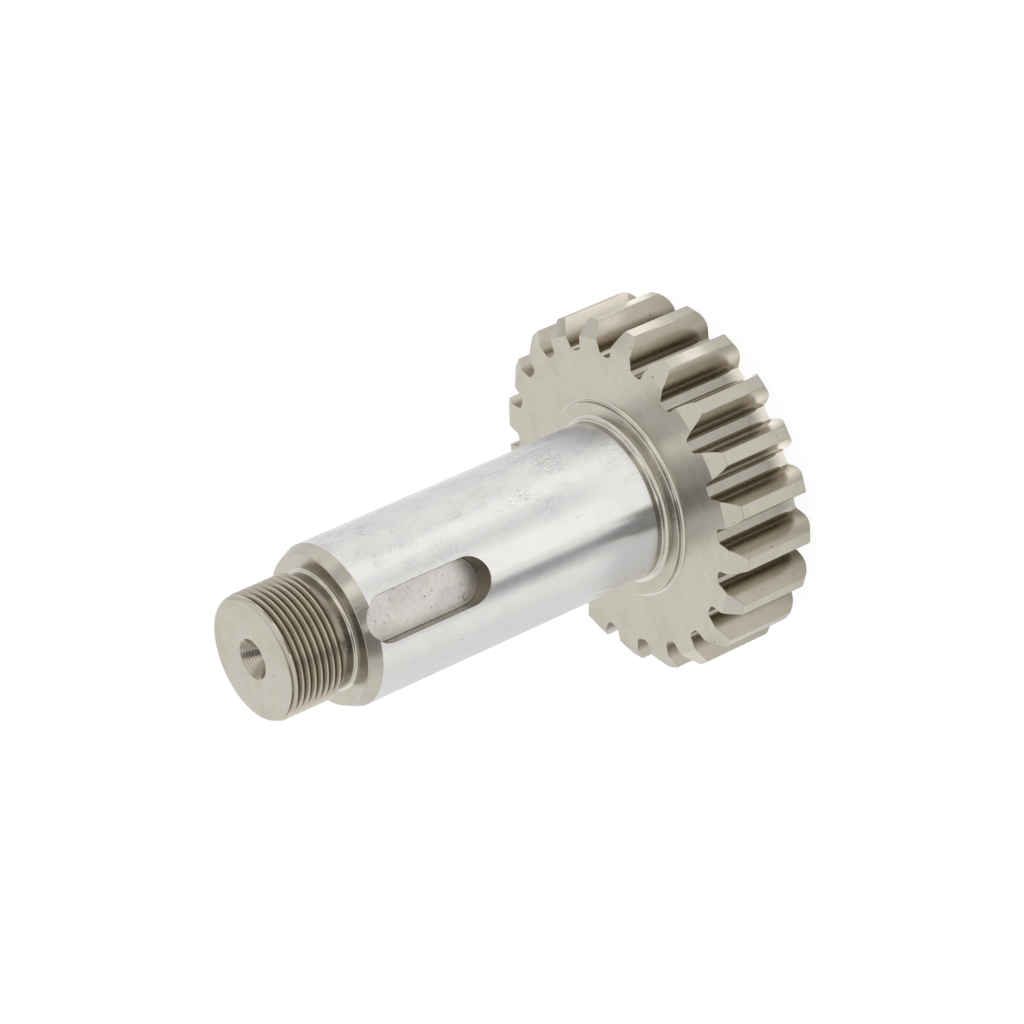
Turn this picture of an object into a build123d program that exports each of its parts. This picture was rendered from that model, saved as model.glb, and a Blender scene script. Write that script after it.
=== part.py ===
from build123d import *
from math import acos, cos, pi, radians, sin, sqrt, tan
import os

# Pinion shaft turned from one bar: a spur gear at the foot, a ground journal with a
# keyway above it, and a threaded end at the top. It stands on the gear's back face,
# with the shaft's axis on Z. Lengths are millimetres and angles are degrees.

# Gear
tooth_count = 21
tooth_module = 3.5
pressure_angle = 25.0
tooth_thickness = 4.95
tip_diameter = 78.0
root_diameter = 64.75
root_fillet = 0.8
gear_width = 21.0
bevel_depth = 3.5
bevel_angle = 35.0
flank_points = 5

# Raised ring on the gear's upper face
boss_diameter = 42.6
boss_height = 1.2
boss_edge = 0.2
boss_taper = 0.7

# Grinding relief between the raised ring and the journal
relief_depth = 0.3
relief_width = 2.3
relief_taper = 1.4

# Ground journal
journal_diameter = 35.0
journal_length = 70.8
journal_bevel_depth = 1.3
journal_bevel_length = 2.8

# Keyway in the journal, milled with round ends
key_width = 10.0
keyway_length = 30.0
keyway_depth = 5.0
keyway_inset = 1.3
keyway_corner = 0.3

# Neck under the thread
neck_depth = 1.15
neck_length = 3.8
neck_fillet = 0.8
neck_run_out = 0.7

# Threaded end, at the thread's outer diameter
thread_diameter = 27.0
thread_length = 12.6
thread_lead_in = 1.0
thread_lead_depth = 0.55

# Centre holes in both ends, as left by turning between centres
centre_mouth = 8.6
centre_pilot = 4.0
centre_angle = 60.0
centre_depth = 8.0
drill_angle = 118.0

# Heights above the gear's back face
boss_top = gear_width + boss_height
journal_foot = boss_top + relief_width
journal_head = journal_foot + journal_length
shoulder_top = journal_head + journal_bevel_length
neck_top = shoulder_top + neck_length
shaft_top = neck_top + thread_length

# Radii of the turned sections
tip_radius = tip_diameter / 2
bevel_radius = tip_radius - bevel_depth
boss_radius = boss_diameter / 2
journal_radius = journal_diameter / 2
relief_radius = journal_radius - relief_depth
shoulder_radius = journal_radius - journal_bevel_depth
thread_radius = thread_diameter / 2
thread_lead_radius = thread_radius - thread_lead_depth
neck_radius = thread_radius - neck_depth

# Tooth geometry that follows from the sizes above
root_radius = root_diameter / 2
pitch_radius = tooth_module * tooth_count / 2
base_radius = pitch_radius * cos(radians(pressure_angle))
bevel_height = bevel_depth * tan(radians(bevel_angle))
cutter_clearance = tooth_module / 2


def involute(angle):
    """Involute function of an angle in radians."""
    return tan(angle) - angle


def flank_angle(radius):
    """Angle between a flank and the line from the gear's centre, in radians."""
    return acos(min(1.0, base_radius / radius))


def half_gap_angle(radius):
    """Half of the angle between two neighbouring flanks at one radius, in radians."""
    half_tooth = (
        tooth_thickness / pitch_radius / 2
        + involute(radians(pressure_angle))
        - involute(flank_angle(radius))
    )
    return pi / tooth_count - half_tooth


def gap_point(radius, side):
    """Point on a gap's flank; side is 1 or -1, and the gap opens along the -Y axis."""
    angle = half_gap_angle(radius)
    return (side * radius * sin(angle), -radius * cos(angle))


def flank_line(side):
    """Points of one flank: an involute on a radial foot, where the root is below its base."""
    foot_radii = [root_radius] if root_radius < base_radius else []
    ends = (max(root_radius, base_radius), tip_radius + cutter_clearance)
    first, last = (tan(flank_angle(radius)) for radius in ends)
    step = (last - first) / (flank_points - 1)
    rolls = [first + step * i for i in range(flank_points)]
    involute_radii = [base_radius * sqrt(1 + roll**2) for roll in rolls]
    return [gap_point(radius, side) for radius in foot_radii + involute_radii]


def centre_hole_section(end_plane):
    """Half section of a centre hole; the plane's X is radial and its Y points into the shaft."""
    cone_depth = (centre_mouth - centre_pilot) / 2 / tan(radians(centre_angle / 2))
    drill_tip = centre_depth + centre_pilot / 2 / tan(radians(drill_angle / 2))
    with BuildSketch(end_plane) as section:
        with BuildLine():
            Polyline(
                (0, 0),
                (centre_mouth / 2, 0),
                (centre_pilot / 2, cone_depth),
                (centre_pilot / 2, centre_depth),
                (0, drill_tip),
                close=True,
            )
        make_face()
    return section.sketch


with BuildPart() as pinion_shaft:
    # Turned blank: half of its section, revolved about the shaft's axis
    with BuildSketch(Plane.XZ) as half_section:
        with BuildLine():
            Polyline(
                (0, 0),
                (bevel_radius, 0),
                (tip_radius, bevel_height),
                (tip_radius, gear_width - bevel_height),
                (bevel_radius, gear_width),
                (boss_radius, gear_width),
                (boss_radius, boss_top - boss_edge),
                (boss_radius - boss_edge, boss_top),
                (relief_radius, boss_top),
                (relief_radius, journal_foot),
                (journal_radius, journal_foot),
                (journal_radius, journal_head),
                (shoulder_radius, shoulder_top),
                (neck_radius, shoulder_top),
                (neck_radius, neck_top - neck_run_out),
                (thread_radius, neck_top),
                (thread_radius, shaft_top - thread_lead_in),
                (thread_lead_radius, shaft_top),
                (0, shaft_top),
                close=True,
            )
        make_face()
        # Tapered corners at the ring's foot and in the relief, and a fillet in the neck
        corners = half_section.vertices()
        boss_foot = corners.sort_by_distance((boss_radius, gear_width))[0]
        relief_corner = corners.sort_by_distance((relief_radius, boss_top))[0]
        neck_corner = corners.sort_by_distance((neck_radius, shoulder_top))[0]
        chamfer(boss_foot, boss_taper)
        chamfer(relief_corner, relief_taper)
        fillet(neck_corner, neck_fillet)
    revolve(axis=Axis.Z)

    # Tooth gaps: involute flanks on a filleted root, cut right through the blank
    with BuildSketch() as gap:
        with BuildLine():
            right_flank = Spline(flank_line(1))
            left_flank = Spline(flank_line(-1))
            ThreePointArc(left_flank @ 0, (0, -root_radius), right_flank @ 0)
            Line(right_flank @ 1, left_flank @ 1)
        make_face()
        feet = gap.vertices().sort_by_distance((0, -root_radius))[:2]
        fillet(feet, min(root_fillet, root_radius * sin(half_gap_angle(root_radius))))
    with PolarLocations(0, tooth_count):
        add(extrude(gap.sketch, amount=gear_width, mode=Mode.PRIVATE), mode=Mode.SUBTRACT)

    # Keyway: a round-ended pocket that opens towards -Y, in line with a tooth gap
    keyway_floor = Plane(
        origin=(
            0,
            keyway_depth - journal_radius,
            shoulder_top - keyway_inset - keyway_length / 2,
        ),
        x_dir=(0, 0, 1),
        z_dir=(0, -1, 0),
    )
    with BuildSketch(keyway_floor):
        SlotOverall(keyway_length, key_width)
    extrude(amount=journal_radius, mode=Mode.SUBTRACT)
    fillet(pinion_shaft.faces(Select.LAST).filter_by(Axis.Y).edges(), keyway_corner)

    # Centre holes, one in each end
    top_end = Plane(origin=(0, 0, shaft_top), x_dir=(1, 0, 0), z_dir=(0, 1, 0))
    for end_plane in (top_end, Plane.XZ):
        revolve(centre_hole_section(end_plane), axis=Axis.Z, mode=Mode.SUBTRACT)

pinion_shaft.part.label = "pinion_shaft"

os.makedirs("parts", exist_ok=True)
export_step(pinion_shaft.part, "parts/pinion_shaft.step")
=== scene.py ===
import logging
from collections.abc import Mapping, Sequence
from dataclasses import dataclass, field
from enum import Enum
from math import acos, asin, atan2, cos, pi, radians, sin, sqrt, tan

import bmesh
import bpy
import numpy as np
from mathutils import Matrix, Vector


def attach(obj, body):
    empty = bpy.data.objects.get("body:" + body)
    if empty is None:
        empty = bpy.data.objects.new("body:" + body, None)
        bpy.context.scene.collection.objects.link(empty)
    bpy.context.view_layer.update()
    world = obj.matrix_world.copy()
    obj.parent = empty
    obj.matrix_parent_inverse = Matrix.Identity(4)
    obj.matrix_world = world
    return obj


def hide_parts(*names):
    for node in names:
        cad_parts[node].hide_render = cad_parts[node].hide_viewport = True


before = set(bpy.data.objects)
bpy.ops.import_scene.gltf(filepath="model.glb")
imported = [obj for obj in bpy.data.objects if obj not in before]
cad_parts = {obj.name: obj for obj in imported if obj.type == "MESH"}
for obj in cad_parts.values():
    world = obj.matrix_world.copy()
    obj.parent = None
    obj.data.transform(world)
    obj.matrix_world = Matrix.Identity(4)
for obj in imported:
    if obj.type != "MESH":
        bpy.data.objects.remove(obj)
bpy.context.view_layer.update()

# The shaft stands on the gear's back face with its axis on Z, and the keyway faces -Y.
# Sizes of the part are millimetres; MM turns them into the scene's metres.

log = logging.getLogger("pinion_shaft")

MM = 0.001
NODE = "pinion_shaft"
BODY = "root"
KEYWAY_SIDE = -pi / 2
SHARP_EDGE = radians(24.0)
TOUCHING = 1e-6
CAMERA_AZIMUTH = -78.65
AREA_WEIGHT = 100
NOISE_MIDDLE = 0.5

# Places of the colour sockets on a mix node, after those for numbers and vectors
FIRST_COLOUR, SECOND_COLOUR, MIXED_COLOUR = 6, 7, 2

# Directions in the half section, in degrees from outwards towards up
OUTWARDS, UP, INWARDS, DOWN = 0.0, 90.0, -180.0, -90.0

Point = tuple[float, float]
Place = tuple[float, float, float]
Colour = tuple[float, float, float]
Numbers = float | np.ndarray
Ring = list[int]
Socket = bpy.types.NodeSocket


class Finish(Enum):
    """Finish of a stretch of the shaft's surface; the value is its material slot."""

    GROUND = 0
    TURNED = 1
    TOOTH_END = 2
    FLANK = 3
    TIP = 4
    THREAD = 5
    KEYWAY = 6
    CENTRE_HOLE = 7
    NECK = 8
    ROOT = 9
    # Lighter turned steel on fillets, edges and thread crests, as painted highlight
    RING = 10
    # The keyway's steel painted dark, as painted shade on its walls
    KEYWAY_WALL = 11


@dataclass
class Skin:
    """The shaft's surface while it is built: points in millimetres, and faces with a finish."""

    points: list[Place] = field(default_factory=list)
    faces: list[tuple[int, ...]] = field(default_factory=list)
    slots: list[int] = field(default_factory=list)

    def add_points(self, points: np.ndarray) -> Ring:
        """Adds points.

        Args:
            points: Rows of x, y and z.

        Returns:
            The indices of the new points, in the same order.
        """
        first = len(self.points)
        self.points.extend(tuple(float(value) for value in point) for point in points)
        return list(range(first, len(self.points)))

    def add_ring(self, angles: np.ndarray, radius: Numbers, height: Numbers) -> Ring:
        """Adds a closed ring of points round the axis.

        Args:
            angles: Angle of each point about the axis, in radians.
            radius: One radius for the ring, or one for each point.
            height: One height for the ring, or one for each point.

        Returns:
            The indices of the ring's points.
        """
        level = height * np.ones_like(angles)
        return self.add_points(np.stack([radius * np.cos(angles), radius * np.sin(angles), level], axis=1))

    def add_face(self, corners: Sequence[int], finish: Finish) -> None:
        """Adds a face without its repeated corners, or nothing where fewer than three are left.

        Args:
            corners: Indices of the corners, in order round the face.
            finish: The face's finish.
        """
        kept = [corner for i, corner in enumerate(corners) if corner != corners[i - 1]]
        if len(set(kept)) >= 3:
            self.faces.append(tuple(kept))
            self.slots.append(finish.value)

    def add_band(self, low: Ring, high: Ring, finish: Finish | Sequence[Finish]) -> None:
        """Joins two closed rings of as many points with faces.

        Args:
            low: The first ring.
            high: The second ring.
            finish: One finish for the band, or one for the stretch after each point.
        """
        for i in range(len(low)):
            after = (i + 1) % len(low)
            own = finish if isinstance(finish, Finish) else finish[i]
            self.add_face((low[i], low[after], high[after], high[i]), own)

    def add_stitch(self, inner: Ring, outer: Ring, finish: Finish) -> None:
        """Joins two concentric rings of different counts with triangles, walking round by angle.

        Args:
            inner: The ring nearer to the axis.
            outer: The ring round it.
            finish: The finish of the stretch between them.
        """
        inner_turn, outer_turn = self._turn_of(inner), self._turn_of(outer)
        i = j = 0
        while i < len(inner) or j < len(outer):
            here = (inner[i % len(inner)], outer[j % len(outer)])
            inner_next = inner_turn[i + 1] if i < len(inner) else np.inf
            outer_next = outer_turn[j + 1] if j < len(outer) else np.inf
            if inner_next < outer_next:
                i += 1
                self.add_face((*here, inner[i % len(inner)]), finish)
            else:
                j += 1
                self.add_face((*here, outer[j % len(outer)]), finish)

    def _turn_of(self, ring: Ring) -> np.ndarray:
        """Angles of a ring's points.

        Args:
            ring: The ring.

        Returns:
            Rising angles from the first point through one full turn, back to it.
        """
        xy = np.array([self.points[index][:2] for index in ring])
        turn = np.unwrap(np.arctan2(xy[:, 1], xy[:, 0]))
        start = KEYWAY_SIDE - pi
        turn += 2 * pi * np.round((start - turn[0]) / (2 * pi))
        return np.append(turn, turn[0] + 2 * pi)

    def add_cap(self, ring: Ring, height: float, finish: Finish) -> None:
        """Closes a ring with triangles that meet on the axis.

        Args:
            ring: The ring to close.
            height: Height of the point on the axis.
            finish: The cap's finish.
        """
        centre = self.add_points(np.array([[0.0, 0.0, height]]))[0]
        for i, corner in enumerate(ring):
            self.add_face((corner, ring[(i + 1) % len(ring)], centre), finish)

    def build(self, name: str, materials: Sequence[bpy.types.Material]) -> bpy.types.Object:
        """Makes the mesh object.

        Args:
            name: The object's name.
            materials: One material for each finish, in the order of their values.

        Returns:
            The new object, in metres.
        """
        mesh = bpy.data.meshes.new(name)
        mesh.from_pydata([tuple(value * MM for value in point) for point in self.points], [], self.faces)
        for material in materials:
            mesh.materials.append(material)
        mesh.polygons.foreach_set("material_index", self.slots)
        edit = bmesh.new()
        edit.from_mesh(mesh)
        unused = [corner for corner in edit.verts if not corner.link_faces]
        bmesh.ops.delete(edit, geom=unused, context="VERTS")
        bmesh.ops.recalc_face_normals(edit, faces=edit.faces)
        edit.to_mesh(mesh)
        edit.free()
        mesh.shade_smooth()
        mesh.set_sharp_from_angle(angle=SHARP_EDGE)
        piece = place_in_scene(name, mesh)
        weighted = piece.modifiers.new("face_weights", "WEIGHTED_NORMAL")
        weighted.keep_sharp = True
        weighted.weight = AREA_WEIGHT
        return piece


def place_in_scene(name: str, data: bpy.types.ID) -> bpy.types.Object:
    """Makes an object of a mesh or a camera.

    Args:
        name: The object's name.
        data: What the object shows.

    Returns:
        The object, in the scene's own collection.
    """
    thing = bpy.data.objects.new(name, data)
    bpy.context.scene.collection.objects.link(thing)
    return thing


def arc(centre: Point, radius: float, start: float, end: float, steps: int) -> list[Point]:
    """Points of a circular arc in the half section.

    Args:
        centre: Radius and height of the arc's centre.
        radius: The arc's own radius.
        start: Angle of the first point in degrees, from outwards towards up.
        end: Angle of the last point in degrees.
        steps: Number of chords.

    Returns:
        Pairs of radius and height.
    """
    turns = [radians(start + (end - start) * i / steps) for i in range(steps + 1)]
    return [(centre[0] + radius * cos(turn), centre[1] + radius * sin(turn)) for turn in turns]


@dataclass(frozen=True)
class Keyway:
    """Round-ended keyway milled into the journal, open towards -Y, with a broken rim."""

    width: float = 10.0
    length: float = 30.0
    depth: float = 5.0
    foot: float = 66.8
    corner: float = 0.12
    rim: float = 0.1
    end_steps: int = 20
    corner_steps: int = 3

    @property
    def lower_centre(self) -> float:
        """Height of the lower round end's centre."""
        return self.foot + self.width / 2

    @property
    def upper_centre(self) -> float:
        """Height of the upper round end's centre."""
        return self.foot + self.length - self.width / 2

    @property
    def rim_radius(self) -> float:
        """Half of the keyway's width at the shaft's surface."""
        return self.width / 2 + self.rim

    def columns(self, stations: Sequence[float]) -> np.ndarray:
        """Turn of each column about a round end's centre.

        Args:
            stations: Heights of the rings that the upper end may cross.

        Returns:
            Rising angles from 0 to pi, one of them at each crossing.
        """
        turns = [pi * i / self.end_steps for i in range(self.end_steps + 1)]
        for station in stations:
            rise = (station - self.upper_centre) / self.rim_radius
            if 0 < rise < 1:
                turns += [asin(rise), pi - asin(rise)]
        return np.array(sorted(turns))


@dataclass(frozen=True)
class Outline:
    """Closed outline round the axis: angles, radii, and the finish of the stretch after each point."""

    angles: np.ndarray
    radii: np.ndarray
    finishes: list[Finish]

    def inset(self, distance: float) -> tuple[np.ndarray, np.ndarray]:
        """Moves the outline into the metal.

        Args:
            distance: How far each point moves, square to the outline.

        Returns:
            The angles and radii of the moved points.
        """
        places = self.radii * np.exp(1j * self.angles)
        along = np.roll(places, -1) - np.roll(places, 1)
        moved = places + 1j * along / np.abs(along) * distance
        return self.angles + np.angle(moved / places), np.abs(moved)


@dataclass(frozen=True)
class Tooth:
    """Involute tooth form of the gear, with filleted roots and broken edges."""

    count: int = 21
    module: float = 3.5
    pressure_angle: float = 25.0
    thickness: float = 4.95
    tip_radius: float = 39.0
    root_radius: float = 32.375
    root_fillet: float = 1.2
    tip_break: float = 0.12
    end_break: float = 0.05
    bevel_depth: float = 3.5
    bevel_angle: float = 35.0
    rounding: float = 5.0
    rounding_height: float = 2.2
    rounding_steps: int = 5
    fillet_steps: int = 5
    lower_steps: int = 4
    upper_steps: int = 5
    land_steps: int = 2

    @property
    def pitch_radius(self) -> float:
        """Radius of the pitch circle."""
        return self.module * self.count / 2

    @property
    def base_radius(self) -> float:
        """Radius of the circle that the involute unrolls from."""
        return self.pitch_radius * cos(radians(self.pressure_angle))

    @property
    def bevel_radius(self) -> float:
        """Radius at which the conical bevel of the tooth ends starts."""
        return self.tip_radius - self.bevel_depth

    @property
    def gap_share(self) -> float:
        """Share of a pitch from the turn's start to the first gap, so that one gap meets the keyway."""
        return (self.count / 2) % 1

    def half_gap(self, radius: float) -> float:
        """Half of the angle between two neighbouring flanks.

        Args:
            radius: Distance from the axis at which it is wanted.

        Returns:
            The angle in radians.
        """
        def involute(angle: float) -> float:
            """Involute function of an angle in radians."""
            return tan(angle) - angle

        flank_angle = acos(min(1.0, self.base_radius / radius))
        half_tooth = self.thickness / self.pitch_radius / 2
        half_tooth += involute(radians(self.pressure_angle)) - involute(flank_angle)
        return pi / self.count - half_tooth

    def half_outline(self) -> list[tuple[float, float, Finish]]:
        """Outline from a gap's middle to the next tooth's middle.

        Returns:
            Rows of turn from the gap's middle, radius, and the finish of what follows.
        """
        foot = self.half_gap(self.root_radius)
        centre_radius = self.root_radius + self.root_fillet
        centre_turn = foot - asin(self.root_fillet / centre_radius)
        rows = [(turn, self.root_radius, Finish.ROOT) for turn in (0.0, centre_turn / 2)]
        centre = np.array([centre_radius * sin(centre_turn), centre_radius * cos(centre_turn)])
        sweep = pi / 2 - asin(self.root_fillet / centre_radius)
        for i in range(self.fillet_steps + 1):
            turn = centre_turn + pi - sweep * i / self.fillet_steps
            x, y = centre + self.root_fillet * np.array([sin(turn), cos(turn)])
            finish = Finish.ROOT if 2 * i < self.fillet_steps else Finish.FLANK
            rows.append((float(np.arctan2(x, y)), float(np.hypot(x, y)), finish))
        corner = self.tip_radius - self.tip_break
        fillet_end = rows[-1][1]
        lower = np.linspace(fillet_end, self.bevel_radius, self.lower_steps + 1)[1:]
        upper = np.linspace(self.bevel_radius, corner, self.upper_steps + 1)[1:]
        rows += [(self.half_gap(radius), radius, Finish.FLANK) for radius in (*lower, *upper)]
        land_start = self.half_gap(self.tip_radius) + self.tip_break / self.tip_radius
        land = np.linspace(land_start, pi / self.count, self.land_steps + 1)
        return rows + [(turn, self.tip_radius, Finish.TIP) for turn in land]

    def outline(self) -> Outline:
        """Outline of the whole gear.

        Returns:
            The outline from the middle of the gap at the far side of the keyway.
        """
        half = self.half_outline()
        back = half[-2:0:-1]
        pitch = 2 * pi / self.count
        angles, radii, finishes = [], [], []
        for k in range(self.count):
            start = KEYWAY_SIDE - pi + pitch * (k + self.gap_share)
            angles += [start + turn for turn, _, _ in half] + [start + pitch - turn for turn, _, _ in back]
            radii += [radius for _, radius, _ in half + back]
            finishes += [finish for _, _, finish in half[:-1] + half[-2::-1]]
        return Outline(np.array(angles), np.array(radii), finishes)

    def bevel_drop(self, radius: np.ndarray) -> np.ndarray:
        """Drop of the conical bevel below the gear's upper face at each radius."""
        return np.maximum(0.0, radius - self.bevel_radius) * tan(radians(self.bevel_angle))

    def rounding_rise(self, radius: np.ndarray) -> np.ndarray:
        """Rise of the rounded tooth ends above the gear's back face.

        Args:
            radius: Distances from the axis.

        Returns:
            The rise at each of them.
        """
        chord = np.array([self.bevel_depth, self.rounding_height])
        half = np.linalg.norm(chord) / 2
        square = np.array([-chord[1], chord[0]]) / (2 * half)
        centre = np.array([self.bevel_radius, 0.0]) + chord / 2 + square * sqrt(self.rounding**2 - half**2)
        across = np.minimum(self.rounding, np.abs(radius - centre[0]))
        rise = centre[1] - np.sqrt(self.rounding**2 - across**2)
        return np.where(radius > self.bevel_radius, rise, 0.0)


@dataclass(frozen=True)
class Thread:
    """Right-hand fine thread on the shaft's end. The plain share is the part of the lead-in that keeps the
    turned finish, without the painted shade in the troughs and the painted highlight on the crests.
    """

    pitch: float = 1.5
    crest_radius: float = 13.5
    root_radius: float = 12.58
    crest_width: float = 0.2
    crest_margin: float = 0.01
    root_width: float = 0.26
    flank_steps: int = 5
    phase: float = 0.35
    end_margin: float = 1e-4
    spare_turns: int = 3
    turns_above: int = 2
    plain_share: float = 0.6

    def form(self) -> list[Point]:
        """One pitch of the thread's form.

        Returns:
            Pairs of height above the start of the turn and radius, the first one a root.
        """
        flank = (self.pitch - self.crest_width - self.root_width) / 2
        depth = self.crest_radius - self.root_radius
        shares = [i / self.flank_steps for i in range(self.flank_steps + 1)]
        up = [(self.root_width / 2 + flank * share, self.root_radius + depth * share) for share in shares]
        down = [(self.pitch - height, radius) for height, radius in reversed(up)]
        return [(0.0, self.root_radius), *up, *down]

    def crests(self) -> list[bool]:
        """Which stretches of the form are the crest.

        Returns:
            One answer for the stretch after each point of the form.
        """
        radii = [radius for _, radius in self.form()]
        floor = self.crest_radius - self.crest_margin
        return [min(pair) > floor for pair in zip(radii, radii[1:] + radii[:1])]

    def radius_at(self, height: np.ndarray) -> np.ndarray:
        """Radius of the thread's form at heights above the start of a turn."""
        heights, radii = zip(*self.form(), (self.pitch, self.root_radius))
        return np.interp(np.mod(height, self.pitch), heights, radii)


@dataclass
class PinionShaft:
    """The whole part: gear, raised ring, relief, journal with keyway, neck and threaded end."""

    tooth: Tooth = Tooth()
    keyway: Keyway = Keyway()
    thread: Thread = Thread()
    gear_width: float = 21.0
    boss_radius: float = 21.3
    boss_height: float = 1.2
    boss_edge: float = 0.2
    boss_fillet: float = 0.7
    relief_radius: float = 17.2
    relief_width: float = 2.3
    relief_fillet: float = 1.4
    journal_radius: float = 17.5
    journal_length: float = 70.8
    journal_bevel_depth: float = 1.3
    journal_bevel_length: float = 2.8
    neck_radius: float = 12.35
    neck_length: float = 3.8
    neck_fillet: float = 0.8
    neck_run_out: float = 0.7
    thread_length: float = 12.6
    lead_in: float = 1.0
    lead_radius: float = 12.95
    centre_mouth: float = 4.3
    centre_mouth_margin: float = 0.48
    centre_pilot: float = 2.0
    centre_half_angle: float = 30.0
    centre_depth: float = 8.0
    drill_half_angle: float = 59.0
    edge: float = 0.12
    edge_softening: float = 3.0
    edge_steps: int = 2
    boss_edge_steps: int = 3
    boss_fillet_steps: int = 6
    fillet_steps: int = 8
    face_margin: float = 1.2
    plain_columns: int = 216
    skin: Skin = field(default_factory=Skin)
    boss_top: float = field(init=False)
    journal_foot: float = field(init=False)
    journal_head: float = field(init=False)
    shoulder_top: float = field(init=False)
    shoulder_radius: float = field(init=False)
    neck_top: float = field(init=False)
    shaft_top: float = field(init=False)
    head_rings: list[Point] = field(init=False)
    end_turns: np.ndarray = field(init=False)
    sector_start: int = field(init=False)
    angles: np.ndarray = field(init=False)

    def __post_init__(self) -> None:
        """Works out the heights and the columns of points that all turned rings share."""
        self.boss_top = self.gear_width + self.boss_height
        self.journal_foot = self.boss_top + self.relief_width
        self.journal_head = self.journal_foot + self.journal_length
        self.shoulder_top = self.journal_head + self.journal_bevel_length
        self.shoulder_radius = self.journal_radius - self.journal_bevel_depth
        self.neck_top = self.shoulder_top + self.neck_length
        self.shaft_top = self.neck_top + self.thread_length
        slope = self.journal_bevel_depth / self.journal_bevel_length
        self.head_rings = [
            (self.journal_radius, self.journal_head - self.edge),
            (self.journal_radius - self.edge * slope / self.edge_softening, self.journal_head),
            (self.journal_radius - self.edge * slope, self.journal_head + self.edge),
        ]
        self.end_turns = self.keyway.columns([height for _, height in self.head_rings])
        half_width = asin(self.keyway.rim_radius / self.journal_radius)
        across = -self.keyway.rim_radius * np.cos(self.end_turns)
        sector = KEYWAY_SIDE + np.arcsin(across / self.journal_radius)
        first, last = KEYWAY_SIDE + half_width, KEYWAY_SIDE + 2 * pi - half_width
        plain = np.linspace(first, last, self.plain_columns + 1)
        middle = self.plain_columns // 2
        self.sector_start = len(plain) - 1 - middle
        self.angles = np.concatenate([plain[middle:-1] - 2 * pi, sector, plain[1:middle]])

    def build(self, materials: Sequence[bpy.types.Material]) -> bpy.types.Object:
        """Builds the part's mesh.

        Args:
            materials: One material for each finish, in the order of their values.

        Returns:
            The part as one object.
        """
        upper_face, lower_face = self.build_gear()
        ring = self.build_foot(upper_face)
        ring = self.build_journal(ring)
        ring = self.build_neck(ring)
        ring = self.build_thread(ring)
        self.build_centre_hole(ring, self.shaft_top, -1.0)
        self.build_centre_hole(lower_face, 0.0, 1.0)
        return self.skin.build("pinion_shaft_steel", materials)

    def turned(self, start: Ring, contour: Sequence[Point], finish: Finish) -> Ring:
        """Turns a stretch of the half section about the axis.

        Args:
            start: The ring that the stretch starts from.
            contour: Pairs of radius and height, without the start.
            finish: The stretch's finish.

        Returns:
            The last ring.
        """
        ring = start
        for radius, height in contour:
            above = self.skin.add_ring(self.angles, radius, height)
            self.skin.add_band(ring, above, finish)
            ring = above
        return ring

    def build_gear(self) -> tuple[Ring, Ring]:
        """Builds the teeth and both end faces as far in as the turned rings.

        Returns:
            The turned rings that the upper and the lower face end on.
        """
        outline = self.tooth.outline()
        upper_wall, upper_face = self._build_end(outline, True)
        lower_wall, lower_face = self._build_end(outline, False)
        self.skin.add_band(lower_wall, upper_wall, outline.finishes)
        return upper_face, lower_face

    def _build_end(self, outline: Outline, upper: bool) -> tuple[Ring, Ring]:
        """Builds one end of the gear: broken edges, bevelled or rounded teeth, and the flat face.

        Args:
            outline: The gear's outline.
            upper: True for the journal's side, and False for the side that the part stands on.

        Returns:
            The end of the teeth's walls, and the turned ring that the flat face ends on.
        """
        tooth, skin = self.tooth, self.skin

        def height(radius: np.ndarray) -> np.ndarray:
            """Height of this end's surface at each radius."""
            return self.gear_width - tooth.bevel_drop(radius) if upper else tooth.rounding_rise(radius)

        inset_angles, inset_radii = outline.inset(tooth.end_break)
        inwards = -tooth.end_break if upper else tooth.end_break
        wall = skin.add_ring(outline.angles, outline.radii, height(outline.radii) + inwards)
        ring = skin.add_ring(inset_angles, inset_radii, height(inset_radii))
        skin.add_band(wall, ring, outline.finishes)
        beyond = outline.radii > tooth.bevel_radius + TOUCHING
        steps = 1 if upper else tooth.rounding_steps
        for step in range(1, steps + 1):
            share = 1 - step / steps
            radii = tooth.bevel_radius + (inset_radii - tooth.bevel_radius) * share
            fresh = skin.add_ring(inset_angles, radii, height(radii))
            inner = [fresh[i] if beyond[i] else ring[i] for i in range(len(ring))]
            skin.add_band(ring, inner, Finish.TOOTH_END)
            ring = inner
        level = self.gear_width if upper else 0.0
        circle_radius = tooth.root_radius - self.face_margin
        circle = skin.add_ring(inset_angles, circle_radius, level)
        skin.add_band(ring, circle, Finish.TURNED)
        plain = skin.add_ring(self.angles, circle_radius - self.face_margin, level)
        skin.add_stitch(plain, circle, Finish.TURNED)
        return wall, plain

    def build_foot(self, start: Ring) -> Ring:
        """Builds the raised ring and the grinding relief.

        Args:
            start: The ring on the gear's face.

        Returns:
            The ring at the journal's foot.
        """
        foot = (self.boss_radius + self.boss_fillet, self.gear_width + self.boss_fillet)
        side = arc(foot, self.boss_fillet, DOWN, INWARDS, self.boss_fillet_steps)
        shoulder = (self.boss_radius - self.boss_edge, self.boss_top - self.boss_edge)
        side += arc(shoulder, self.boss_edge, OUTWARDS, UP, self.boss_edge_steps)
        hollow = (self.relief_radius + self.relief_fillet, self.boss_top + self.relief_fillet)
        relief = arc(hollow, self.relief_fillet, DOWN, INWARDS, self.fillet_steps)
        relief += [(self.relief_radius, self.journal_foot)]
        corner = (self.journal_radius - self.edge, self.journal_foot + self.edge)
        relief += arc(corner, self.edge, DOWN, OUTWARDS, self.edge_steps)
        # The boss's fillet and edge, and the relief from its fillet to the journal's corner, take the
        # lighter finish as painted highlight
        ring = self.turned(start, side[:1], Finish.TURNED)
        ring = self.turned(ring, side[1:], Finish.RING)
        ring = self.turned(ring, relief[:1], Finish.TURNED)
        return self.turned(ring, relief[1:], Finish.RING)

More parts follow.
